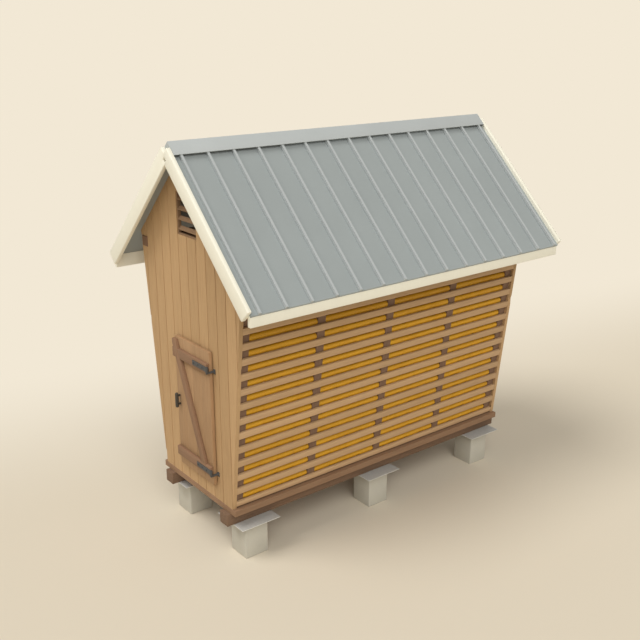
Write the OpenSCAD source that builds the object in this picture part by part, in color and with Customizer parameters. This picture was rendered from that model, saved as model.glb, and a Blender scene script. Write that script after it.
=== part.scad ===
// Corn crib: slatted sides that lean out, boarded gables, a ledged door and a
// standing-seam roof, on six piers with rat guards. Millimetres, +Z up.
// The origin is at ground level under the middle of the roof. The ridge runs
// along Y and the gable with the door faces -Y.

/* [Piers] */
// Side of each square pier
pier_w = 250; // [180:1:320]
// Height of each pier above the ground
pier_h = 370; // [200:1:600]
// From a runner's end to the outer face of the end pier
pier_inset = 158; // [20:1:300]
// How far a rat guard stands out past each side of its pier
guard_lip = 88; // [40:1:120]
// Thickness of a rat guard
guard_t = 6; // [2:1:12]

/* [Floor] */
// Width of each runner
runner_w = 128; // [80:1:200]
// Height of each runner
runner_h = 124; // [80:1:200]
// How far a runner runs past the deck at each end
runner_nose = 39; // [0:1:80]
// From the deck's long edge to the runner's outer face
runner_inset = 81; // [20:1:160]
// Thickness of the floor deck
deck_t = 60; // [30:1:90]
// How far the deck stands out past the slatted sides
deck_lip = 44; // [0:1:80]
// How far the deck stands out past the gable boards
deck_end_lip = 4; // [0:1:30]

/* [Walls] */
// Width over the slats at the deck
wall_w = 1222; // [1000:1:1600]
// Length over the gable boards
wall_l = 3548; // [2800:1:4400]
// From the deck to the underside of the top plates
wall_h = 2220; // [1850:1:2800]
// Outward lean of the slatted sides, in degrees
wall_lean = 6.27; // [0:0.01:9]
// Thickness of the gable boards
board_t = 40; // [20:1:50]

/* [Slatted sides] */
// Thickness of a slat
slat_t = 30; // [15:1:40]
// Height of a slat
slat_h = 63; // [40:1:100]
// Gap between slats
slat_gap = 83; // [50:1:120]
// Height of the bottom slat
slat_first = 49; // [30:1:80]
// Gap under the bottom slat
slat_lift = 14; // [0:1:30]
// Width of a stud, along the wall
stud_w = 90; // [45:1:120]
// Depth of a stud, across the wall
stud_d = 90; // [80:1:120]
// Spacing of the three middle studs
stud_pitch = 853; // [700:1:950]

/* [Corn] */
// Thickness of a row of ears
corn_d = 76; // [50:1:80]
// Rows filled, counted from the bottom gap
corn_rows = 13; // [1:1:13]
// How far a row lies below the middle of its gap
corn_drop = 28; // [0:1:34]

/* [Roof frame] */
// Width of a top plate
plate_w = 103; // [80:1:140]
// Height of a top plate
plate_h = 100; // [60:1:140]
// How far a plate's outer face is set back from the slats' face
plate_set = 7; // [0:1:30]
// How far a plate pokes out of the gable boards
plate_nose = 6; // [0:1:40]
// Thickness of a rafter
rafter_w = 45; // [30:1:60]
// Depth of a rafter
rafter_d = 90; // [70:1:110]
// Height of the roof's underside over the outer edge of a plate
heel_h = 65; // [40:1:100]
// Thickness of the ridge beam
ridge_w = 40; // [25:1:60]
// Height of the ridge beam
ridge_h = 150; // [120:1:200]

/* [Roof] */
// Slope of the roof, in degrees
roof_pitch = 44.5; // [35:0.5:52]
// Thickness of a roof panel
panel_t = 20; // [10:1:30]
// Level distance from a plate's outer face to the drip edge
eave_over = 363; // [200:1:450]
// How far the panels run past the gable boards
rake_over = 142; // [60:1:250]
// Height of a standing seam
seam_h = 30; // [15:1:34]
// Width of a standing seam
seam_w = 24; // [12:1:40]
// Number of seams on each slope
seam_count = 15; // [5:2:21]
// From a panel's end to the middle of its end seam
seam_inset = 76; // [30:1:120]
// Width of each wing of the ridge cap
cap_w = 146; // [100:1:200]
// Thickness of the ridge cap
cap_t = 7; // [3:1:10]

/* [Bargeboards and fascias] */
// Depth of a bargeboard, square to the slope
barge_d = 140; // [110:1:180]
// Thickness of a bargeboard
barge_t = 40; // [20:1:50]
// How far a bargeboard stands up above the panel
barge_rise = 37; // [34:1:60]
// How far a bargeboard stops short of the drip edge
barge_short = 19; // [0:1:60]
// How far down the slope the square upper ends are cut
barge_notch = 66; // [0:1:70]
// Half the height of the diamond gap where two boards meet
peak_gap = 26; // [5:1:28]
// Height of a fascia
fascia_h = 92; // [60:1:140]
// Thickness of a fascia
fascia_t = 40; // [20:1:50]
// How far a fascia's face is set back from the drip edge
fascia_set = 15; // [0:1:60]

/* [Gable vents] */
// Width of a vent
vent_w = 330; // [200:1:400]
// Height of a vent
vent_h = 388; // [250:1:420]
// From the roof's underside at the ridge to the top of a vent
vent_drop = 379; // [320:1:450]
// Number of louvre blades
vent_blades = 4; // [3:1:6]
// Thickness of the vent's frame bars
vent_bar = 14; // [8:1:24]
// How far a vent is set back from the face of the boards
vent_set = 8; // [2:1:15]
// Depth of a louvre blade along its slope
blade_l = 42; // [30:1:44]
// Thickness of a louvre blade
blade_t = 10; // [6:1:14]

/* [Door] */
// Width of the door
door_w = 605; // [500:1:740]
// Height of the door
door_h = 1320; // [1080:1:1600]
// Sideways place of the door's middle
door_x = 58; // [0:1:90]
// From the deck to the bottom of the door
door_lift = 156; // [80:1:200]
// Thickness of the door boards
door_t = 34; // [20:1:45]
// Clearance between the door and the gable boards
door_gap = 5; // [5:1:10]
// How far the door laps over the edge of the doorway
door_lap = 20; // [10:1:40]
// Height of a ledge
ledge_h = 92; // [70:1:120]
// Thickness of the ledges and the brace
ledge_t = 34; // [20:1:45]
// From the door's end to the middle of its ledge
ledge_in = 148; // [120:1:200]
// Width of the brace
brace_w = 70; // [50:1:100]
// From the free edge to the brace's middle at the door's top
brace_head = 12; // [0:1:60]
// From the hinge edge to the brace's middle on the bottom ledge
brace_toe = 123; // [80:1:200]
// From the door's top to the top of the brace
brace_top = 18; // [0:1:40]

/* [Hinges and handle] */
// Height of a strap
strap_h = 46; // [30:1:60]
// Length of a strap, from the pin to its tip
strap_l = 248; // [150:1:400]
// Thickness of a strap
strap_t = 8; // [4:1:12]
// From the hinge edge of the door to the pin's axis
pin_out = 19; // [15:1:30]
// Radius of the pin
pin_r = 7; // [5:0.5:8]
// Clearance around the pin
pin_clear = 0.4; // [0.1:0.1:1]
// Wall of the barrel around the pin
barrel_wall = 6.6; // [4:0.1:7]
// Width of the arm that carries the pin
arm_w = 16; // [12:1:18]
// Thickness of the wall plate under the arm
foot_t = 6; // [4:1:8]
// Height of the wall plate
foot_h = 44; // [30:1:100]
// Width of the wall plate
foot_w = 30; // [18:1:60]
// Length of the handle's grip
grip_l = 154; // [110:1:220]
// Radius of the grip
grip_r = 17; // [8:1:18]
// From the door boards to the middle of the grip
grip_out = 36; // [30:1:45]
// From the free edge of the door to the grip
grip_in = 42; // [30:1:80]
// From the bottom of the door to the middle of the grip
grip_z = 682; // [550:1:850]

/* [Hidden] */
$fn = 48;

RIGHT = 1;
LEFT = -1;
FRONT = -1;
REAR = 1;

// Levels, from the ground up
guard_z = pier_h;
runner_z = guard_z + guard_t;
deck_z = runner_z + runner_h;
floor_z = deck_z + deck_t;
plate_z = floor_z + wall_h;
plate_top = plate_z + plate_h;

// Plan
deck_w = wall_w + 2 * deck_lip;
deck_l = wall_l + 2 * deck_end_lip;
runner_l = deck_l + 2 * runner_nose;
runner_x = deck_w / 2 - runner_inset - runner_w / 2;
pier_y = runner_l / 2 - pier_inset - pier_w / 2;
guard_w = pier_w + 2 * guard_lip;
board_y = wall_l / 2;
inner_y = board_y - board_t;
stud_ys = [-inner_y + stud_w / 2, -stud_pitch, 0, stud_pitch, inner_y - stud_w / 2];

// Slatted sides: half width over the slats at height z, and sizes across the lean
function side_x(z) = wall_w / 2 + tan(wall_lean) * (z - floor_z);
slat_run = slat_t / cos(wall_lean);
stud_run = stud_d / cos(wall_lean);
slat_pitch = slat_h + slat_gap;
wall_slope = wall_h / cos(wall_lean);
first_gap = slat_lift + slat_first;
gap_rows = 1 + floor((wall_slope - first_gap - slat_gap) / slat_pitch);

// Roof: the underside, and points given along (u) and square to (n) the slope,
// from the peak of the bargeboards' top edges
plate_out = side_x(plate_z) - plate_set;
plate_in = plate_out - plate_w;
under_peak = plate_top + heel_h + tan(roof_pitch) * plate_out;
function under(x) = under_peak - tan(roof_pitch) * x;
peak_z = under_peak + (panel_t + barge_rise) / cos(roof_pitch);
function slope(u, n) = [
    u * cos(roof_pitch) + n * sin(roof_pitch),
    peak_z - u * sin(roof_pitch) + n * cos(roof_pitch)];
function flip(p) = [-p[0], p[1]];
drip_x = plate_out + eave_over;
drip_u = (drip_x + barge_rise * sin(roof_pitch)) / cos(roof_pitch);
panel_y = board_y + rake_over;
seam_pitch = 2 * (panel_y - seam_inset) / (seam_count - 1);
ridge_top = under(ridge_w / 2);
seat_x = (under_peak - rafter_d / cos(roof_pitch) - plate_top) / tan(roof_pitch);

// Door and doorway
door_x0 = door_x - door_w / 2;
door_x1 = door_x + door_w / 2;
door_z0 = floor_z + door_lift;
door_z1 = door_z0 + door_h;
way_x0 = door_x0 + door_lap;
way_x1 = door_x1 - door_lap;
way_z0 = door_z0 + door_lap;
way_z1 = door_z1 - door_lap;
leaf_back = -board_y - door_gap;
leaf_front = leaf_back - door_t;
ledge_front = leaf_front - ledge_t;
ledge_zs = [door_z0 + ledge_in, door_z1 - ledge_in];
pin_x = door_x1 + pin_out;
pin_y = ledge_front - strap_t / 2;
barrel_r = pin_r + pin_clear + barrel_wall;
arm_gap = 1;

// Play left between pieces that lie on one another along a slope
seat_play = 0.05;

// An outline in X and Z, drawn out along Y
module along_y(y0, y1) {
    translate([0, y1, 0]) rotate([90, 0, 0]) linear_extrude(height = y1 - y0) children();
}

// The right-hand piece, or its mirror image on the left
module on_side(side) {
    if (side == LEFT) mirror([1, 0, 0]) children();
    else children();
}

// The front piece, or its mirror image at the rear
module at_end(end) {
    if (end == REAR) mirror([0, 1, 0]) children();
    else children();
}

// A frame whose Z runs up a slatted side and whose X points out of it
module up_side() {
    translate([wall_w / 2, 0, floor_z]) rotate([0, wall_lean, 0]) children();
}

module pier(side, row) {
    color("#b9b2a0")
    translate([side * runner_x - pier_w / 2, row * pier_y - pier_w / 2, 0])
        cube([pier_w, pier_w, pier_h]);
}

module rat_guards() {
    color("#9a9892")
    for (side = [LEFT, RIGHT], row = [-1, 0, 1])
        translate([side * runner_x - guard_w / 2, row * pier_y - guard_w / 2, guard_z])
            cube([guard_w, guard_w, guard_t]);
}

module runner(side) {
    color("#6e503e")
    translate([side * runner_x - runner_w / 2, -runner_l / 2, runner_z])
        cube([runner_w, runner_l, runner_h]);
}

module floor_deck() {
    color("#826146")
    translate([-deck_w / 2, -deck_l / 2, deck_z]) cube([deck_w, deck_l, deck_t]);
}

// Gable boards from the deck up to the top of the doorway, left of it
module front_wall_left() {
    color("#b4916a")
    along_y(-board_y, -inner_y) polygon([
        [-side_x(floor_z), floor_z], [way_x0, floor_z],
        [way_x0, way_z1], [-side_x(way_z1), way_z1]]);
}

module front_wall_right() {
    color("#b4916a")
    along_y(-board_y, -inner_y) polygon([
        [way_x1, floor_z], [side_x(floor_z), floor_z],
        [side_x(way_z1), way_z1], [way_x1, way_z1]]);
}

module front_wall_sill() {
    color("#b4916a")
    translate([way_x0, -board_y, floor_z]) cube([way_x1 - way_x0, board_t, way_z0 - floor_z]);
}

// Gable boards above the doorway, notched for the plates and the ridge beam
module gable(end) {
    right = [
        [side_x(way_z1), way_z1], [side_x(plate_z), plate_z],
        [plate_in, plate_z], [plate_in, plate_top], [side_x(plate_top), plate_top],
        [heel_x, under(heel_x)], [ridge_w / 2, ridge_top], [ridge_w / 2, ridge_top - ridge_h]];
    color("#b4916a")
    at_end(end) difference() {
        along_y(-board_y, -inner_y)
            polygon(concat(right, [for (i = [len(right) - 1:-1:0]) flip(right[i])]));
        translate([-vent_w / 2, -board_y - 1, vent_z]) cube([vent_w, board_t + 2, vent_h]);
    }
}
// Where the slats' plane, carried on up, meets the roof's underside
heel_x = (wall_w / 2 + tan(wall_lean) * (under_peak - floor_z))
    / (1 + tan(wall_lean) * tan(roof_pitch));
vent_z = under_peak - vent_drop - vent_h;

module rear_wall() {
    color("#b4916a")
    along_y(inner_y, board_y) polygon([
        [-side_x(floor_z), floor_z], [side_x(floor_z), floor_z],
        [side_x(way_z1), way_z1], [-side_x(way_z1), way_z1]]);
}

module studs(side) {
    color("#6a4c38")
    on_side(side) for (y = stud_ys)
        along_y(y - stud_w / 2, y + stud_w / 2) polygon([
            [side_x(floor_z) - slat_run - stud_run, floor_z],
            [side_x(floor_z) - slat_run, floor_z],
            [side_x(plate_z) - slat_run, plate_z],
            [side_x(plate_z) - slat_run - stud_run, plate_z]]);
}

// Slats nailed to the studs, with a ripped slat at the bottom and at the top
module slats(side) {
    top_gap = first_gap + (gap_rows - 1) * slat_pitch + slat_gap;
    color("#af8c69")
    on_side(side) up_side() {
        slat(slat_lift, slat_first);
        for (i = [1:gap_rows - 1]) slat(first_gap + i * slat_pitch - slat_h, slat_h);
        slat(top_gap, wall_slope - top_gap - slat_t * tan(wall_lean));
    }
}
module slat(z, h) {
    translate([-slat_t, -inner_y, z]) cube([slat_t, 2 * inner_y, h]);
}

// Rows of ears lying behind the gaps, from stud to stud
module corn(side) {
    color("#c88c23")
    on_side(side) up_side()
        for (row = [0:min(corn_rows, gap_rows) - 1], bay = [0:len(stud_ys) - 2])
            translate([-slat_t - corn_d / 2, stud_ys[bay] + stud_w / 2,
                first_gap + row * slat_pitch + slat_gap / 2 - corn_drop])
            translate([0, seat_play, 0]) rotate([-90, 0, 0])
                linear_extrude(height = stud_ys[bay + 1] - stud_ys[bay] - stud_w - 2 * seat_play)
                    polygon([for (a = [0:22.5:337.5]) corn_d / 2 * [cos(a), sin(a)]]);
}

module top_plate(side) {
    color("#6a4c38")
    on_side(side) translate([plate_in, -board_y - plate_nose, plate_z])
        cube([plate_w, 2 * (board_y + plate_nose), plate_h]);
}

// A pair of rafters at each pair of studs, seated on the plates
module rafters() {
    color("#8a6a4c")
    for (side = [LEFT, RIGHT], y = stud_ys)
        on_side(side) along_y(y - rafter_w / 2, y + rafter_w / 2) polygon([
            [ridge_w / 2, ridge_top], [plate_out, under(plate_out)],
            [plate_out, plate_top], [seat_x, plate_top],
            [ridge_w / 2, ridge_top - rafter_d / cos(roof_pitch)]]);
}

module ridge_beam() {
    color("#6a4c38")
    translate([-ridge_w / 2, -panel_y, ridge_top - ridge_h])
        cube([ridge_w, 2 * panel_y, ridge_h]);
}

// A louvred vent: a frame with blades that slope down and out
module vent(end) {
    inner_h = vent_h - 2 * vent_bar;
    depth = board_t - vent_set;
    color("#7d5f45")
    at_end(end) translate([0, -inner_y - depth, vent_z]) {
        for (x = [-vent_w / 2, vent_w / 2 - vent_bar])
            translate([x, 0, 0]) cube([vent_bar, depth, vent_h]);
        for (z = [0, vent_h - vent_bar])
            translate([-vent_w / 2, 0, z]) cube([vent_w, depth, vent_bar]);
        for (i = [0:vent_blades - 1])
            translate([-vent_w / 2 + vent_bar / 2, depth / 2,
                vent_bar + (i + 0.5) * inner_h / vent_blades])
            rotate([blade_tilt, 0, 0]) translate([0, -blade_l / 2, -blade_t / 2])
                cube([vent_w - vent_bar, blade_l, blade_t]);
    }
}
blade_tilt = 50;

// One slope of the roof: a flat panel with its standing seams
module roof_panel(side) {
    color("#98a09e")
    on_side(side) {
        along_y(-panel_y, panel_y) polygon([
            [0, peak_z - barge_rise / cos(roof_pitch)], slope(drip_u, -barge_rise),
            slope(drip_u, -barge_rise - panel_t + seat_play),
            [0, under_peak + seat_play / cos(roof_pitch)]]);
        for (i = [0:seam_count - 1])
            seam(-panel_y + seam_inset + i * seam_pitch);
    }
}
module seam(y) {
    top = seam_h - barge_rise - seat_play;
    along_y(y - seam_w / 2, y + seam_w / 2) polygon([
        slope(cap_w / 2, top), slope(drip_u, top),
        slope(drip_u, -barge_rise - 2), slope(cap_w / 2, -barge_rise - 2)]);
}

// The folded cap over the ridge, lying on the seams, with a closure at each end
module ridge_cap() {
    low = seam_h - barge_rise;
    closure_t = 6;
    color("#b4b8b8")
    {
        along_y(-panel_y, panel_y) chevron(low + cap_t, low);
        for (y = [-panel_y, panel_y - closure_t])
            along_y(y, y + closure_t) chevron(low + cap_t / 2, -barge_rise + seat_play);
    }
}
module chevron(n0, n1) {
    polygon([
        [0, peak_z + n0 / cos(roof_pitch)], slope(cap_w, n0),
        slope(cap_w, n1), [0, peak_z + n1 / cos(roof_pitch)],
        flip(slope(cap_w, n1)), flip(slope(cap_w, n0))]);
}

// A bargeboard, with a square upper end and half of the diamond gap at the peak
module bargeboard(side, end) {
    end_u = drip_u - barge_short;
    low_peak = peak_z - barge_d / cos(roof_pitch);
    notch_z = peak_z - barge_notch * (sin(roof_pitch) + cos(roof_pitch) / tan(roof_pitch));
    gap_z = (low_peak + notch_z) / 2 - 10;
    color("#f4efdc")
    on_side(side) at_end(end) along_y(-panel_y - barge_t, -panel_y) polygon([
        slope(barge_notch, 0), [0, notch_z],
        [0, gap_z + peak_gap], [peak_gap, gap_z], [0, gap_z - peak_gap],
        [0, low_peak], slope(end_u, -barge_d), slope(end_u, 0)]);
}

module fascia(side) {
    x1 = drip_x - fascia_set;
    x0 = x1 - fascia_t;
    color("#f4efdc")
    on_side(side) along_y(-panel_y, panel_y) polygon([
        [x0, under(x0)], [x1, under(x1)],
        [x1, under(x1) - fascia_h], [x0, under(x1) - fascia_h]]);
}

// The fixed half of a hinge: a wall plate, an arm and a pin that stands up
module pintle(z) {
    arm_top = z - strap_h / 2 - arm_gap;
    color("#4b4b4b")
    translate([pin_x, 0, 0]) {
        translate([-arm_w / 2, -board_y - foot_t, arm_top - foot_h * 0.7])
            cube([foot_w, foot_t, foot_h]);
        translate([-arm_w / 2, pin_y - arm_w / 2, arm_top - arm_w])
            cube([arm_w, -board_y - foot_t / 2 - pin_y + arm_w / 2, arm_w]);
        translate([0, pin_y, arm_top - arm_w / 2])
            cylinder(r = pin_r, h = arm_w / 2 + arm_gap + strap_h + pin_r);
    }
}

module door_leaf() {
    color("#a38261")
    translate([door_x0, leaf_front, door_z0]) cube([door_w, door_t, door_h]);
}

// The two ledges across the door, the top one cut round the brace
module door_ledges() {
    color("#87674d")
    difference() {
        for (z = ledge_zs)
            translate([door_x0, ledge_front, z - ledge_h / 2]) cube([door_w, ledge_t, ledge_h]);
        along_y(ledge_front - 1, leaf_front + 1) brace_outline();
    }
}

module door_brace() {
    color("#87674d") along_y(ledge_front, leaf_front) brace_outline();
}

// The brace runs from the free top corner down to the bottom ledge
foot_z = ledge_zs[0] + ledge_h / 2;
head_z = door_z1 - brace_top;
brace_lean = (door_w - brace_head - brace_toe) / (door_z1 - foot_z);
brace_run = brace_w / cos(atan(brace_lean)) / 2;
function brace_x(z) = door_x1 - brace_toe - brace_lean * (z - foot_z);
module brace_outline() {
    edge_z = foot_z + (door_x1 - brace_toe - brace_run - door_x0) / brace_lean;
    polygon([
        [brace_x(foot_z) - brace_run, foot_z], [brace_x(foot_z) + brace_run, foot_z],
        [brace_x(head_z) + brace_run, head_z], [door_x0, head_z], [door_x0, edge_z]]);
}

// The moving half of a hinge: a strap on the ledge with a barrel round the pin
module hinge_strap(z) {
    color("#4b4b4b")
    translate([pin_x, pin_y, z - strap_h / 2]) difference() {
        union() {
            translate([-strap_l, -strap_t / 2, 0]) cube([strap_l, strap_t, strap_h]);
            cylinder(r = barrel_r, h = strap_h);
        }
        translate([0, 0, -1]) cylinder(r = pin_r + pin_clear, h = strap_h + 2);
    }
}

// A vertical grip with round ends on two posts
module door_handle() {
    post_r = grip_r * 0.6;
    post_z = grip_l / 2 - 2 * grip_r;
    color("#3c372d")
    translate([door_x0 + grip_in, leaf_front, door_z0 + grip_z]) {
        translate([0, -grip_out, -grip_l / 2 + grip_r]) cylinder(r = grip_r, h = grip_l - 2 * grip_r);
        for (s = [-1, 1]) {
            translate([0, -grip_out, s * (grip_l / 2 - grip_r)]) sphere(r = grip_r);
            translate([0, -grip_out, s * post_z]) rotate([-90, 0, 0]) cylinder(r = post_r, h = grip_out);
        }
    }
}

pier(RIGHT, -1);  // pier_front_right
pier(RIGHT, 0);  // pier_middle_right
pier(RIGHT, 1);  // pier_rear_right
pier(LEFT, -1);  // pier_front_left
pier(LEFT, 0);  // pier_middle_left
pier(LEFT, 1);  // pier_rear_left
rat_guards();
runner(RIGHT);  // runner_right
runner(LEFT);  // runner_left
floor_deck();
front_wall_left();
front_wall_right();
front_wall_sill();
gable(FRONT);  // front_gable
rear_wall();
gable(REAR);  // rear_gable
studs(RIGHT);  // studs_right
studs(LEFT);  // studs_left
slats(RIGHT);  // slats_right
slats(LEFT);  // slats_left
corn(RIGHT);  // corn_right
corn(LEFT);  // corn_left
top_plate(RIGHT);  // top_plate_right
top_plate(LEFT);  // top_plate_left
rafters();
ridge_beam();
vent(FRONT);  // vent_front
vent(REAR);  // vent_rear
roof_panel(RIGHT);  // roof_panel_right
roof_panel(LEFT);  // roof_panel_left
ridge_cap();
bargeboard(RIGHT, FRONT);  // bargeboard_front_right
bargeboard(LEFT, FRONT);  // bargeboard_front_left
bargeboard(RIGHT, REAR);  // bargeboard_rear_right
bargeboard(LEFT, REAR);  // bargeboard_rear_left
fascia(RIGHT);  // fascia_right
fascia(LEFT);  // fascia_left
pintle(ledge_zs[1]);  // pintle_top
pintle(ledge_zs[0]);  // pintle_bottom
door_leaf();
door_ledges();
door_brace();
hinge_strap(ledge_zs[1]);  // hinge_strap_top
hinge_strap(ledge_zs[0]);  // hinge_strap_bottom
door_handle();
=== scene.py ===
# A corn crib on piers: slatted sides over rows of ears, boarded gables, a
# ledged door and a standing-seam roof. Metres, in the same frame as the CAD.
import math

import bpy
import bmesh
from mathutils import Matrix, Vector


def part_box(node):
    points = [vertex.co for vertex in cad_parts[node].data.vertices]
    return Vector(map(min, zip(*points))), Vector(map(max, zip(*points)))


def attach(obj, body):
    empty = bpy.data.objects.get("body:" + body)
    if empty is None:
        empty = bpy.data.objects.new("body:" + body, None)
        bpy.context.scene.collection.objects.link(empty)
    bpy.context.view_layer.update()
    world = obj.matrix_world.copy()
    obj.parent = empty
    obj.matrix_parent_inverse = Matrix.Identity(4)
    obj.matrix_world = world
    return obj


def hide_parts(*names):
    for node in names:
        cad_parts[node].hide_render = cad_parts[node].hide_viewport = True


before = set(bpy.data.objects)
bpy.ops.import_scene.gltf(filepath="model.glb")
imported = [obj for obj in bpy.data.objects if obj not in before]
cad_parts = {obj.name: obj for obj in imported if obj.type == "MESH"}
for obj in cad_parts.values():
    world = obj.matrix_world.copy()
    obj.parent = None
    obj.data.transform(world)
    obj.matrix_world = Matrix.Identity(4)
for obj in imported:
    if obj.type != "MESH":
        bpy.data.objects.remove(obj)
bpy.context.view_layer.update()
scene = bpy.context.scene
bpy.ops.object.select_all(action="DESELECT")


# Camera: a long way off and a little above the eaves, looking at the corner
# between the door gable and the slatted side.
camera_data = bpy.data.cameras.new("camera")
camera_data.lens = 50.0
camera_data.sensor_width = 36.0
camera = bpy.data.objects.new("camera", camera_data)
scene.collection.objects.link(camera)
camera.location = (6.758, -5.590, 4.814)
camera.rotation_euler = (math.radians(90.0 - 18.55), 0.0, math.radians(51.82))
scene.camera = camera
scene.view_settings.view_transform = "Standard"


# Floor: a plain pale studio ground that keeps the crib's shadow. Behind the
# crib it fades into the colour of the backdrop, so that no edge shows.
CREAM = (0.888, 0.807, 0.665, 1.0)
bpy.ops.mesh.primitive_plane_add(size=400.0, location=(0.0, 0.0, 0.0))
floor = bpy.context.object
floor.name = "studio_floor"
floor_material = bpy.data.materials.new("studio_floor")
floor_material.use_nodes = True
floor_tree = floor_material.node_tree
floor_shader = floor_tree.nodes["Principled BSDF"]
floor_shader.inputs["Base Color"].default_value = (0.72, 0.655, 0.54, 1.0)
floor_shader.inputs["Roughness"].default_value = 1.0
floor_shader.inputs["Specular IOR Level"].default_value = 0.0
floor_glow = floor_tree.nodes.new("ShaderNodeEmission")
floor_glow.inputs["Color"].default_value = CREAM
floor_place = floor_tree.nodes.new("ShaderNodeTexCoord")
away = floor_tree.nodes.new("ShaderNodeVectorMath")
away.operation = "DOT_PRODUCT"
away.inputs[1].default_value = (-1.0, 0.2, 0.0)
floor_fade = floor_tree.nodes.new("ShaderNodeMapRange")
floor_fade.interpolation_type = "SMOOTHSTEP"
floor_fade.inputs["From Min"].default_value = 0.6
floor_fade.inputs["From Max"].default_value = 5.0
floor_blend = floor_tree.nodes.new("ShaderNodeMixShader")
floor_tree.links.new(floor_place.outputs["Object"], away.inputs[0])
floor_tree.links.new(away.outputs["Value"], floor_fade.inputs["Value"])
distance = floor_tree.nodes.new("ShaderNodeVectorMath")
distance.operation = "LENGTH"
far_fade = floor_tree.nodes.new("ShaderNodeMapRange")
far_fade.interpolation_type = "SMOOTHSTEP"
far_fade.inputs["From Min"].default_value = 5.0
far_fade.inputs["From Max"].default_value = 16.0
stronger = floor_tree.nodes.new("ShaderNodeMath")
stronger.operation = "MAXIMUM"
floor_tree.links.new(floor_place.outputs["Object"], distance.inputs[0])
floor_tree.links.new(distance.outputs["Value"], far_fade.inputs["Value"])
floor_tree.links.new(floor_fade.outputs[0], stronger.inputs[0])
floor_tree.links.new(far_fade.outputs[0], stronger.inputs[1])
floor_tree.links.new(stronger.outputs[0], floor_blend.inputs[0])
floor_tree.links.new(floor_shader.outputs[0], floor_blend.inputs[1])
floor_tree.links.new(floor_glow.outputs[0], floor_blend.inputs[2])
floor_tree.links.new(floor_blend.outputs[0], floor_tree.nodes["Material Output"].inputs["Surface"])
floor.data.materials.append(floor_material)
floor.select_set(False)


# Light: a broad high key from the door's side, a low fill on the slatted side
# and a pale even sky.
def soft_lamp(name, towards, strength, spread, tint):
    data = bpy.data.lights.new(name, "SUN")
    data.angle = math.radians(spread)
    data.energy = strength
    data.color = tint
    made = bpy.data.objects.new(name, data)
    scene.collection.objects.link(made)
    level = math.hypot(towards[0], towards[1])
    turn = math.atan2(towards[1], towards[0]) + math.pi / 2
    made.rotation_euler = (math.atan2(level, towards[2]), 0.0, turn)


soft_lamp("key_lamp", (-0.10, -0.50, 0.85), 1.5, 30.0, (1.0, 0.97, 0.92))
soft_lamp("fill_lamp", (0.75, -0.35, 0.75), 1.35, 40.0, (1.0, 0.97, 0.92))
world = bpy.data.worlds.new("studio_sky")
scene.world = world
world.use_nodes = True
sky_tree = world.node_tree
sky = sky_tree.nodes["Background"]
sky.inputs["Color"].default_value = (0.93, 0.90, 0.84, 1.0)
sky.inputs["Strength"].default_value = 0.36
backdrop = sky_tree.nodes.new("ShaderNodeBackground")
backdrop.inputs["Color"].default_value = CREAM
seen_directly = sky_tree.nodes.new("ShaderNodeLightPath")
sky_blend = sky_tree.nodes.new("ShaderNodeMixShader")
sky_tree.links.new(seen_directly.outputs["Is Camera Ray"], sky_blend.inputs[0])
sky_tree.links.new(sky.outputs[0], sky_blend.inputs[1])
sky_tree.links.new(backdrop.outputs[0], sky_blend.inputs[2])
sky_tree.links.new(sky_blend.outputs[0], sky_tree.nodes["World Output"].inputs["Surface"])


# Sawn timber: every wooden piece shares one grain, which runs along a chosen
# axis, with darker streaks, a change of tone from board to board and soft wear.
def new_group(name, inputs, outputs):
    group = bpy.data.node_groups.new(name, "ShaderNodeTree")
    for label, kind, value in inputs:
        made = group.interface.new_socket(name=label, in_out="INPUT", socket_type=kind)
        made.default_value = value
    for label, kind in outputs:
        group.interface.new_socket(name=label, in_out="OUTPUT", socket_type=kind)
    return group, group.nodes.new("NodeGroupInput"), group.nodes.new("NodeGroupOutput")


def add_node(tree, kind, **settings):
    made = tree.nodes.new(kind)
    for label, value in settings.items():
        setattr(made, label, value)
    return made


def arithmetic(tree, operation, first, second):
    made = add_node(tree, "ShaderNodeMath", operation=operation)
    for socket, value in zip(made.inputs, (first, second)):
        if isinstance(value, (int, float)):
            socket.default_value = value
        else:
            tree.links.new(value, socket)
    return made.outputs[0]


def mixed(tree, factor, first, second, blend="MIX"):
    made = add_node(tree, "ShaderNodeMix", data_type="RGBA", blend_type=blend)
    for socket, value in ((made.inputs[0], factor), (made.inputs[6], first), (made.inputs[7], second)):
        if isinstance(value, (int, float, tuple)):
            socket.default_value = value
        else:
            tree.links.new(value, socket)
    return made.outputs[2]


grain_group, grain_in, grain_out = new_group(
    "timber_grain",
    [("Vector", "NodeSocketVector", (0.0, 0.0, 0.0)), ("Color", "NodeSocketColor", (0.5, 0.3, 0.15, 1.0)),
     ("Tone", "NodeSocketFloat", 0.2), ("Streak", "NodeSocketFloat", 0.35)],
    [("Color", "NodeSocketColor"), ("Height", "NodeSocketFloat"), ("Roughness", "NodeSocketFloat")])
fibre = add_node(grain_group, "ShaderNodeTexNoise")
fibre.inputs["Scale"].default_value = 1.0
fibre.inputs["Detail"].default_value = 6.0
fibre.inputs["Roughness"].default_value = 0.65
grain_group.links.new(grain_in.outputs["Vector"], fibre.inputs["Vector"])
cloud = add_node(grain_group, "ShaderNodeTexNoise")
cloud.inputs["Scale"].default_value = 0.08
cloud.inputs["Detail"].default_value = 2.0
grain_group.links.new(grain_in.outputs["Vector"], cloud.inputs["Vector"])
streak_mask = add_node(grain_group, "ShaderNodeMapRange")
streak_mask.inputs["From Min"].default_value = 0.45
streak_mask.inputs["From Max"].default_value = 0.72
grain_group.links.new(fibre.outputs[0], streak_mask.inputs["Value"])
dark = mixed(grain_group, 1.0, grain_in.outputs["Color"], (0.62, 0.55, 0.5, 1.0), "MULTIPLY")
streak_share = arithmetic(grain_group, "MULTIPLY", streak_mask.outputs[0], grain_in.outputs["Streak"])
streaked = mixed(grain_group, streak_share, grain_in.outputs["Color"], dark)
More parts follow.
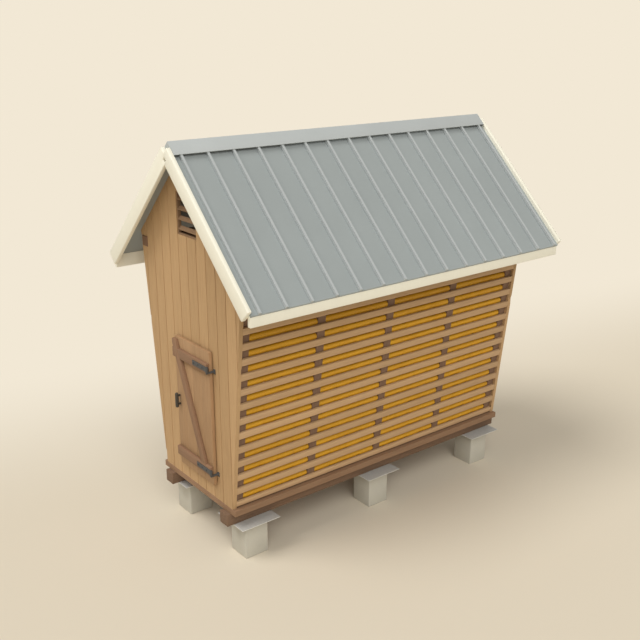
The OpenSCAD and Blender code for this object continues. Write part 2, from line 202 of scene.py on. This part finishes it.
light = mixed(grain_group, 1.0, streaked, (1.25, 1.25, 1.25, 1.0), "MULTIPLY")
tone_share = arithmetic(grain_group, "MULTIPLY", cloud.outputs[0], grain_in.outputs["Tone"])
clouded = mixed(grain_group, tone_share, streaked, light)
grain_group.links.new(clouded, grain_out.inputs["Color"])
grain_group.links.new(fibre.outputs[0], grain_out.inputs["Height"])
rough = add_node(grain_group, "ShaderNodeMapRange")
rough.inputs["To Min"].default_value = 0.7
rough.inputs["To Max"].default_value = 0.9
grain_group.links.new(fibre.outputs[0], rough.inputs["Value"])
grain_group.links.new(rough.outputs[0], grain_out.inputs["Roughness"])


def blank_material(name, roughness=0.8):
    made = bpy.data.materials.new(name)
    made.use_nodes = True
    shader = made.node_tree.nodes["Principled BSDF"]
    shader.inputs["Roughness"].default_value = roughness
    return made, made.node_tree, shader


def bumped(tree, shader, height, strength, depth):
    bump = add_node(tree, "ShaderNodeBump")
    bump.inputs["Strength"].default_value = strength
    bump.inputs["Distance"].default_value = depth
    tree.links.new(height, bump.inputs["Height"])
    tree.links.new(bump.outputs[0], shader.inputs["Normal"])


def timber(name, color, stretch, tone=0.25, streak=0.35, boards=None):
    """boards gives the axis across the boards, their pitch and one joint."""
    made, tree, shader = blank_material(name)
    place = add_node(tree, "ShaderNodeTexCoord")
    turn = add_node(tree, "ShaderNodeMapping")
    turn.inputs["Scale"].default_value = stretch
    grain = add_node(tree, "ShaderNodeGroup", node_tree=grain_group)
    grain.inputs["Color"].default_value = (*color, 1.0)
    grain.inputs["Tone"].default_value = tone
    grain.inputs["Streak"].default_value = streak
    tree.links.new(place.outputs["Object"], turn.inputs["Vector"])
    tree.links.new(turn.outputs[0], grain.inputs["Vector"])
    wood = grain.outputs["Color"]
    if boards:
        axis, pitch, joint = boards
        split = add_node(tree, "ShaderNodeSeparateXYZ")
        tree.links.new(place.outputs["Object"], split.inputs[0])
        shifted = arithmetic(tree, "SUBTRACT", split.outputs[axis], joint)
        number = arithmetic(tree, "FLOOR", arithmetic(tree, "DIVIDE", shifted, pitch), 0.0)
        chance = add_node(tree, "ShaderNodeTexWhiteNoise", noise_dimensions="1D")
        tree.links.new(number, chance.inputs["W"])
        darker = mixed(tree, 1.0, wood, (0.87, 0.86, 0.84, 1.0), "MULTIPLY")
        wood = mixed(tree, chance.outputs["Value"], wood, darker)
    tree.links.new(wood, shader.inputs["Base Color"])
    tree.links.new(grain.outputs["Roughness"], shader.inputs["Roughness"])
    bumped(tree, shader, grain.outputs["Height"], 0.35, 0.002)
    return made


UPRIGHT = (60.0, 60.0, 4.0)
ALONG = (60.0, 4.0, 60.0)
ACROSS = (4.0, 60.0, 60.0)


# Piece makers: a solid from the frame is copied, its edges are eased, and where
# it stands for boards laid side by side it is cut along their joints.
def copy_of(name, nodes):
    bpy.ops.object.select_all(action="DESELECT")
    for node in nodes:
        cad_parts[node].select_set(True)
    bpy.context.view_layer.objects.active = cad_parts[nodes[0]]
    bpy.ops.object.duplicate()
    if len(nodes) > 1:
        bpy.ops.object.join()
    made = bpy.context.object
    for key in list(made.keys()):
        del made[key]
    made.parent = None
    made.name = name
    made.data.name = name
    made.data.materials.clear()
    bpy.ops.object.mode_set(mode="EDIT")
    bpy.ops.mesh.select_all(action="SELECT")
    bpy.ops.mesh.remove_doubles(threshold=0.00005)
    bpy.ops.mesh.dissolve_limited(angle_limit=math.radians(0.5))
    bpy.ops.mesh.select_all(action="DESELECT")
    bpy.ops.object.mode_set(mode="OBJECT")
    return made


def eased(made, width, segments=2):
    made.select_set(True)
    bpy.context.view_layer.objects.active = made
    bevel = made.modifiers.new("eased", "BEVEL")
    bevel.width = width
    bevel.segments = segments
    bevel.limit_method = "ANGLE"
    bevel.angle_limit = math.radians(25.0)
    bpy.ops.object.modifier_apply(modifier="eased")
    bpy.ops.object.shade_smooth_by_angle(angle=math.radians(35.0))


def grooved(made, axis, joints, half_width, depth, faces):
    """Cuts a V along each joint: axis is the one across the joints, faces are
    (axis, level, direction) of the flat sides that are cut."""
    normal = [0.0, 0.0, 0.0]
    normal[axis] = 1.0
    mesh = bmesh.new()
    mesh.from_mesh(made.data)
    for joint in joints:
        for shift in (-half_width, 0.0, half_width):
            at = [0.0, 0.0, 0.0]
            at[axis] = joint + shift
            bmesh.ops.bisect_plane(mesh, geom=mesh.verts[:] + mesh.edges[:] + mesh.faces[:],
                                   dist=0.00001, plane_co=at, plane_no=normal)
    for vert in mesh.verts:
        for side, level, direction in faces:
            on_joint = any(abs(vert.co[axis] - joint) < 0.0001 for joint in joints)
            if on_joint and abs(vert.co[side] - level) < 0.0005:
                vert.co[side] -= direction * depth
    mesh.to_mesh(made.data)
    mesh.free()


def finished(made, body, material, nodes):
    made.data.materials.append(material)
    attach(made, body)
    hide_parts(*nodes)
    made.select_set(False)


# Piers: cast concrete blocks, square and plain, with worn corners and a
# mottled, slightly pitted face.
def mineral(name, color, spot):
    made, tree, shader = blank_material(name, 0.92)
    place = add_node(tree, "ShaderNodeTexCoord")
    mottle = add_node(tree, "ShaderNodeTexNoise")
    mottle.inputs["Scale"].default_value = 9.0
    mottle.inputs["Detail"].default_value = 8.0
    grit = add_node(tree, "ShaderNodeTexNoise")
    grit.inputs["Scale"].default_value = 160.0
    grit.inputs["Detail"].default_value = 3.0
    for texture in (mottle, grit):
        tree.links.new(place.outputs["Object"], texture.inputs["Vector"])
    toned = mixed(tree, mottle.outputs[0], (*color, 1.0), (*spot, 1.0))
    tree.links.new(toned, shader.inputs["Base Color"])
    bumped(tree, shader, grit.outputs[0], 0.4, 0.002)
    return made


concrete = mineral("cast_concrete", (0.62, 0.60, 0.52), (0.53, 0.51, 0.45))
for row in ("front", "middle", "rear"):
    for side in ("right", "left"):
        pier = copy_of("pier_block_%s_%s" % (row, side), ["pier_%s_%s" % (row, side)])
        eased(pier, 0.006)
        finished(pier, "crib", concrete, ["pier_%s_%s" % (row, side)])


# Rat guards: square sheets of galvanised steel, laid on the piers so that
# rats can't climb past. Their upright cut edges get a painted highlight.
def sheet_metal(name, face, edge, metallic, roughness):
    made, tree, shader = blank_material(name, roughness)
    shader.inputs["Metallic"].default_value = metallic
    place = add_node(tree, "ShaderNodeTexCoord")
    split = add_node(tree, "ShaderNodeSeparateXYZ")
    tree.links.new(place.outputs["Normal"], split.inputs[0])
    edge_highlight_mask = arithmetic(tree, "LESS_THAN", arithmetic(tree, "ABSOLUTE", split.outputs[2], 0.0), 0.6)
    spangle = add_node(tree, "ShaderNodeTexVoronoi")
    spangle.inputs["Scale"].default_value = 45.0
    tree.links.new(place.outputs["Object"], spangle.inputs["Vector"])
    tone = mixed(tree, arithmetic(tree, "MULTIPLY", spangle.outputs["Distance"], 0.4), (*face, 1.0),
                 tuple(0.82 * c for c in face) + (1.0,))
    # Faces that stand upright, the sheets' cut edges, take the paler edge colour: a painted highlight.
    tree.links.new(mixed(tree, edge_highlight_mask, tone, (*edge, 1.0)), shader.inputs["Base Color"])
    smear = add_node(tree, "ShaderNodeMapRange")
    smear.inputs["To Min"].default_value = roughness - 0.08
    smear.inputs["To Max"].default_value = roughness + 0.12
    tree.links.new(spangle.outputs["Distance"], smear.inputs["Value"])
    tree.links.new(smear.outputs[0], shader.inputs["Roughness"])
    return made


guards = copy_of("rat_guard_sheets", ["rat_guards"])
eased(guards, 0.0012)
galvanised = sheet_metal("galvanised_sheet", (0.54, 0.54, 0.52), (0.82, 0.82, 0.79), 0.3, 0.5)
finished(guards, "crib", galvanised, ["rat_guards"])


# Runners: two long square-sawn skids of dark timber that carry the
# floor from pier to pier.
runner_wood = timber("runner_timber", (0.19, 0.115, 0.07), ALONG, 0.3, 0.5)
for side in ("right", "left"):
    runner = copy_of("runner_beam_" + side, ["runner_" + side])
    eased(runner, 0.005)
    finished(runner, "crib", runner_wood, ["runner_" + side])


# Floor: thick planks laid side by side along the crib on the runners. Their
# joints show inside the doorway.
PLANK = 0.146
deck = copy_of("floor_planks", ["floor_deck"])
deck_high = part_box("floor_deck")[1]
plank_joints = [PLANK * (k + 0.5) for k in range(-5, 5) if abs(PLANK * (k + 0.5)) < deck_high.x - 0.03]
grooved(deck, 0, plank_joints, 0.004, 0.010, [(2, deck_high.z, 1)])
eased(deck, 0.003, 1)
finished(deck, "crib", timber("floor_timber", (0.31, 0.185, 0.107), ALONG, 0.3, 0.45,
                                       (0, PLANK, PLANK / 2)), ["floor_deck"])


# Gable boards: upright tongued boards with a V along each joint, nailed over
# the ends of the slats and sawn to the slope of the roof.
BOARD = 0.1537
FIRST_JOINT = -0.0053
board_joints = [FIRST_JOINT + BOARD * k for k in range(-6, 7)]
gable_wood = timber("gable_timber", (0.52, 0.335, 0.17), UPRIGHT, 0.25, 0.3, (0, BOARD, FIRST_JOINT))
front_nodes = ["front_wall_left", "front_wall_right", "front_wall_sill", "front_gable"]
rear_nodes = ["rear_wall", "rear_gable"]
for name, nodes in (("front_gable_boards", front_nodes), ("rear_gable_boards", rear_nodes)):
    boards = copy_of(name, nodes)
    low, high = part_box(nodes[0])
    grooved(boards, 0, board_joints, 0.006, 0.014, [(1, low.y, -1), (1, high.y, 1)])
    finished(boards, "crib", gable_wood, nodes)


# Studs and top plates: square timber inside the slats. The plates run on
# through the gable boards and poke out a little at each end.
frame_wood = timber("frame_timber", (0.21, 0.125, 0.078), UPRIGHT, 0.3, 0.45)
plate_wood = timber("plate_timber", (0.21, 0.12, 0.07), ALONG, 0.3, 0.45)
for side in ("right", "left"):
    studs = copy_of("stud_posts_" + side, ["studs_" + side])
    eased(studs, 0.004, 1)
    finished(studs, "crib", frame_wood, ["studs_" + side])
    plate = copy_of("plate_beam_" + side, ["top_plate_" + side])
    eased(plate, 0.004, 1)
    finished(plate, "crib", plate_wood, ["top_plate_" + side])


# Slats: planed laths nailed to the studs with open gaps between, so that air
# dries the ears.
SLAT_PITCH = 0.1451
SLAT_JOINT = 0.664
slat_wood = timber("slat_timber", (0.56, 0.37, 0.205), ALONG, 0.35, 0.35, (2, SLAT_PITCH, SLAT_JOINT))
for side in ("right", "left"):
    slats = copy_of("slat_laths_" + side, ["slats_" + side])
    eased(slats, 0.004)
    finished(slats, "crib", slat_wood, ["slats_" + side])


# Ears of corn: they lie end to end in rows behind the gaps, each one swollen
# in the middle, with close rows of kernels.
def corn_skin():
    made, tree, shader = blank_material("ear_kernels", 0.5)
    place = add_node(tree, "ShaderNodeTexCoord")
    kernels = add_node(tree, "ShaderNodeTexVoronoi")
    kernels.inputs["Scale"].default_value = 110.0
    kernels.inputs["Randomness"].default_value = 0.55
    patch = add_node(tree, "ShaderNodeTexNoise")
    patch.inputs["Scale"].default_value = 5.0
    patch.inputs["Detail"].default_value = 3.0
    for texture in (kernels, patch):
        tree.links.new(place.outputs["Object"], texture.inputs["Vector"])
    ripe = mixed(tree, patch.outputs[0], (0.76, 0.38, 0.010, 1.0), (0.93, 0.53, 0.025, 1.0))
    # Each kernel darkens towards its edge: painted shade in the creases between kernels.
    kernel_crease_shade = arithmetic(tree, "MULTIPLY", kernels.outputs["Distance"], 0.55)
    crease_shaded_kernels = mixed(tree, kernel_crease_shade, ripe, (0.40, 0.17, 0.01, 1.0))
    tree.links.new(crease_shaded_kernels, shader.inputs["Base Color"])
    bumped(tree, shader, arithmetic(tree, "SUBTRACT", 1.0, kernels.outputs["Distance"]), 0.5, 0.003)
    return made


EAR_SIDES = 14
EARS_PER_BAR = 4
EAR_SWELL = ((0.0, 0.90), (0.10, 0.97), (0.5, 1.0), (0.90, 0.97), (1.0, 0.90))
corn_material = corn_skin()
for side in ("right", "left"):
    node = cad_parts["corn_" + side]
    solid = bmesh.new()
    solid.from_mesh(node.data)
    bmesh.ops.remove_doubles(solid, verts=solid.verts, dist=0.00005)
    seen = set()
    bars = []
    for start in solid.verts:
        if start in seen:
            continue
        seen.add(start)
        island = [start]
        for vert in island:
            for edge in vert.link_edges:
                other = edge.other_vert(vert)
                if other not in seen:
                    seen.add(other)
                    island.append(other)
        xs, ys, zs = zip(*[vert.co[:] for vert in island])
        bars.append(((min(xs) + max(xs)) / 2, min(ys), max(ys),
                     (min(zs) + max(zs)) / 2, (max(xs) - min(xs)) / 2))
    solid.free()
    ears = bmesh.new()
    for number, (x, y0, y1, z, radius) in enumerate(sorted(bars, key=lambda b: (round(b[3], 3), b[1]))):
        step = (y1 - y0) / EARS_PER_BAR
        for k in range(EARS_PER_BAR):
            rings = []
            for along, swell in EAR_SWELL:
                y = y0 + step * (k + along)
                r = radius * swell * (0.97 + 0.03 * math.sin(2.3 * number + 1.7 * k))
                turns = [2 * math.pi * i / EAR_SIDES for i in range(EAR_SIDES)]
                rings.append([ears.verts.new((x + r * math.sin(t), y, z + r * math.cos(t))) for t in turns])
            for first, second in zip(rings, rings[1:]):
                for i in range(EAR_SIDES):
                    j = (i + 1) % EAR_SIDES
                    ears.faces.new((first[i], first[j], second[j], second[i]))
            ears.faces.new(rings[0][::-1])
            ears.faces.new(rings[-1])
    bmesh.ops.recalc_face_normals(ears, faces=ears.faces)
    mesh = bpy.data.meshes.new("ear_rows_" + side)
    ears.to_mesh(mesh)
    ears.free()
    rows = bpy.data.objects.new("ear_rows_" + side, mesh)
    scene.collection.objects.link(rows)
    bpy.ops.object.select_all(action="DESELECT")
    rows.select_set(True)
    bpy.context.view_layer.objects.active = rows
    bpy.ops.object.shade_smooth_by_angle(angle=math.radians(50.0))
    finished(rows, "crib", corn_material, ["corn_" + side])


# Rafters and ridge beam: the roof's own timbers, seen only through the
# doorway and the vents.
rafters = copy_of("rafter_pairs", ["rafters"])
eased(rafters, 0.003, 1)
finished(rafters, "crib", timber("rafter_timber", (0.30, 0.19, 0.11), ACROSS), ["rafters"])
ridge = copy_of("ridge_board", ["ridge_beam"])
eased(ridge, 0.003, 1)
finished(ridge, "crib", plate_wood, ["ridge_beam"])


# Vents: a thin frame with blades that slope down and out, set in the gable
# boards under the peak.
louvre_wood = timber("louvre_timber", (0.27, 0.165, 0.09), ACROSS, 0.25, 0.4)
for end in ("front", "rear"):
    vent = copy_of("louvre_vent_" + end, ["vent_" + end])
    eased(vent, 0.0015, 1)
    finished(vent, "crib", louvre_wood, ["vent_" + end])


# Roof panels: coated sheet steel folded up into a standing seam at every
# joint. The seams get a painted highlight, paler than the pans between them.
panel_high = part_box("roof_panel_right")[1]
PITCH = math.radians(44.5)


def roof_sheet(name, pan, seam_highlight, seam_level):
    made, tree, shader = blank_material(name, 0.5)
    place = add_node(tree, "ShaderNodeTexCoord")
    split = add_node(tree, "ShaderNodeSeparateXYZ")
    tree.links.new(place.outputs["Object"], split.inputs[0])
    out = arithmetic(tree, "MULTIPLY", arithmetic(tree, "ABSOLUTE", split.outputs[0], 0.0), math.sin(PITCH))
    up = arithmetic(tree, "MULTIPLY", split.outputs[2], math.cos(PITCH))
    # Everything above the pans, the seams, takes the paler colour: a painted highlight.
    seam_highlight_mask = add_node(tree, "ShaderNodeMapRange")
    seam_highlight_mask.inputs["From Min"].default_value = seam_level
    seam_highlight_mask.inputs["From Max"].default_value = seam_level + 0.004
    tree.links.new(arithmetic(tree, "ADD", out, up), seam_highlight_mask.inputs["Value"])
    weather = add_node(tree, "ShaderNodeTexNoise")
    weather.inputs["Scale"].default_value = 2.2
    weather.inputs["Detail"].default_value = 5.0
    tree.links.new(place.outputs["Object"], weather.inputs["Vector"])
    worn = mixed(tree, weather.outputs[0], tuple(0.95 * c for c in pan) + (1.0,),
                 tuple(1.06 * c for c in pan) + (1.0,))
    tree.links.new(mixed(tree, seam_highlight_mask.outputs[0], worn, (*seam_highlight, 1.0)), shader.inputs["Base Color"])
    dull = add_node(tree, "ShaderNodeMapRange")
    dull.inputs["To Min"].default_value = 0.42
    dull.inputs["To Max"].default_value = 0.62
    tree.links.new(weather.outputs[0], dull.inputs["Value"])
    tree.links.new(dull.outputs[0], shader.inputs["Roughness"])
    bumped(tree, shader, weather.outputs[0], 0.08, 0.01)
    return made


sheet_top = panel_high.z * math.cos(PITCH)
roof_material = roof_sheet("seamed_roofing", (0.325, 0.362, 0.370), (0.45, 0.485, 0.50), sheet_top + 0.004)
for side in ("right", "left"):
    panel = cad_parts["roof_panel_" + side]
    panel.data.materials.clear()
    panel.data.materials.append(roof_material)


# Ridge cap: one folded sheet that lies on the seams of both slopes and is
# closed at each end.
cap = copy_of("folded_ridge_cap", ["ridge_cap"])
eased(cap, 0.002, 2)
cap_sheet = roof_sheet("cap_sheet", (0.455, 0.49, 0.50), (0.455, 0.49, 0.50), 10.0)
finished(cap, "crib", cap_sheet, ["ridge_cap"])


# Bargeboards and fascias: planed boards painted ivory, nailed to the roof's
# edges with eased corners. Faint brush marks run along them.
def gloss_paint(name, color, stretch):
    made, tree, shader = blank_material(name, 0.55)
    place = add_node(tree, "ShaderNodeTexCoord")
    turn = add_node(tree, "ShaderNodeMapping")
    turn.inputs["Scale"].default_value = stretch
    brush = add_node(tree, "ShaderNodeTexNoise")
    brush.inputs["Scale"].default_value = 1.0
    brush.inputs["Detail"].default_value = 4.0
    tree.links.new(place.outputs["Object"], turn.inputs["Vector"])
    tree.links.new(turn.outputs[0], brush.inputs["Vector"])
    toned = mixed(tree, brush.outputs[0], tuple(0.95 * c for c in color) + (1.0,), (*color, 1.0))
    tree.links.new(toned, shader.inputs["Base Color"])
    bumped(tree, shader, brush.outputs[0], 0.15, 0.001)
    return made


barge_paint = gloss_paint("ivory_paint", (0.93, 0.91, 0.79), (12.0, 60.0, 12.0))
for end in ("front", "rear"):
    for side in ("right", "left"):
        node = "bargeboard_%s_%s" % (end, side)
        barge = copy_of("barge_%s_%s" % (end, side), [node])
        eased(barge, 0.005)
        finished(barge, "crib", barge_paint, [node])
for side in ("right", "left"):
    fascia = copy_of("fascia_board_" + side, ["fascia_" + side])
    eased(fascia, 0.005)
    finished(fascia, "crib", barge_paint, ["fascia_" + side])


# Door boards: four upright boards joined by the ledges behind the hinges, a
# shade darker than the gable.
leaf_low, leaf_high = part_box("door_leaf")
DOOR_BOARDS = 4
board_step = (leaf_high.x - leaf_low.x) / DOOR_BOARDS
leaf = copy_of("door_boards", ["door_leaf"])
grooved(leaf, 0, [leaf_low.x + board_step * k for k in range(1, DOOR_BOARDS)], 0.0025, 0.004,
        [(1, leaf_low.y, -1), (1, leaf_high.y, 1)])
eased(leaf, 0.003)
finished(leaf, "door", timber("door_timber", (0.43, 0.265, 0.140), UPRIGHT, 0.25, 0.35,
                                              (0, board_step, leaf_low.x)), ["door_leaf"])


# Ledges and brace: darker battens across the door and from its top corner
# down to the bottom ledge, all flush with one another.
ledges = copy_of("door_battens", ["door_ledges"])
eased(ledges, 0.004)
ledge_wood = timber("ledge_timber", (0.27, 0.155, 0.088), ACROSS, 0.25, 0.4)
finished(ledges, "door", ledge_wood, ["door_ledges"])
brace = copy_of("door_diagonal", ["door_brace"])
eased(brace, 0.004)
brace_wood = timber("brace_timber", (0.27, 0.155, 0.088), UPRIGHT, 0.25, 0.4)
finished(brace, "door", brace_wood, ["door_brace"])


# Ironwork: forged straps held by three bolts each, pintles screwed to the
# boards, and a round pull handle, all in rough blackened iron.
def black_iron(name, color):
    made, tree, shader = blank_material(name, 0.55)
    place = add_node(tree, "ShaderNodeTexCoord")
    scale = add_node(tree, "ShaderNodeTexNoise")
    scale.inputs["Scale"].default_value = 60.0
    scale.inputs["Detail"].default_value = 6.0
    tree.links.new(place.outputs["Object"], scale.inputs["Vector"])
    toned = mixed(tree, scale.outputs[0], tuple(0.75 * c for c in color) + (1.0,),
                  tuple(1.35 * c for c in color) + (1.0,))
    tree.links.new(toned, shader.inputs["Base Color"])
    pitted = add_node(tree, "ShaderNodeMapRange")
    pitted.inputs["To Min"].default_value = 0.45
    pitted.inputs["To Max"].default_value = 0.75
    tree.links.new(scale.outputs[0], pitted.inputs["Value"])
    tree.links.new(pitted.outputs[0], shader.inputs["Roughness"])
    bumped(tree, shader, scale.outputs[0], 0.3, 0.001)
    return made


BOLT_RADIUS = 0.009
BOLT_HEIGHT = 0.006
BOLT_SINK = 0.001
iron = black_iron("blackened_iron", (0.07, 0.07, 0.07))
for level in ("top", "bottom"):
    strap = copy_of("strap_" + level, ["hinge_strap_" + level])
    eased(strap, 0.0015)
    strap_low, strap_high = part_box("hinge_strap_" + level)
    finished(strap, "door", iron, ["hinge_strap_" + level])
    face = (strap_low.y + strap_high.y) / 2 - 0.004
    for number, share in enumerate((0.08, 0.36, 0.64)):
        spot = (strap_low.x + share * (strap_high.x - strap_low.x), face - BOLT_HEIGHT / 2 + BOLT_SINK,
                (strap_low.z + strap_high.z) / 2)
        bpy.ops.mesh.primitive_cylinder_add(vertices=20, radius=BOLT_RADIUS, depth=BOLT_HEIGHT,
                                            location=spot, rotation=(math.pi / 2, 0.0, 0.0))
        bolt = bpy.context.object
        bolt.name = "strap_bolt_%s_%d" % (level, number + 1)
        bpy.ops.object.transform_apply(location=True, rotation=True, scale=True)
        eased(bolt, 0.0024, 3)
        bolt.data.materials.append(iron)
        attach(bolt, "door")
        bolt.select_set(False)
    pin = copy_of("pintle_" + level + "_iron", ["pintle_" + level])
    eased(pin, 0.001)
    finished(pin, "crib", iron, ["pintle_" + level])
pull = copy_of("door_pull", ["door_handle"])
bpy.ops.object.shade_smooth_by_angle(angle=math.radians(50.0))
finished(pull, "door", black_iron("handle_iron", (0.05, 0.043, 0.033)), ["door_handle"])
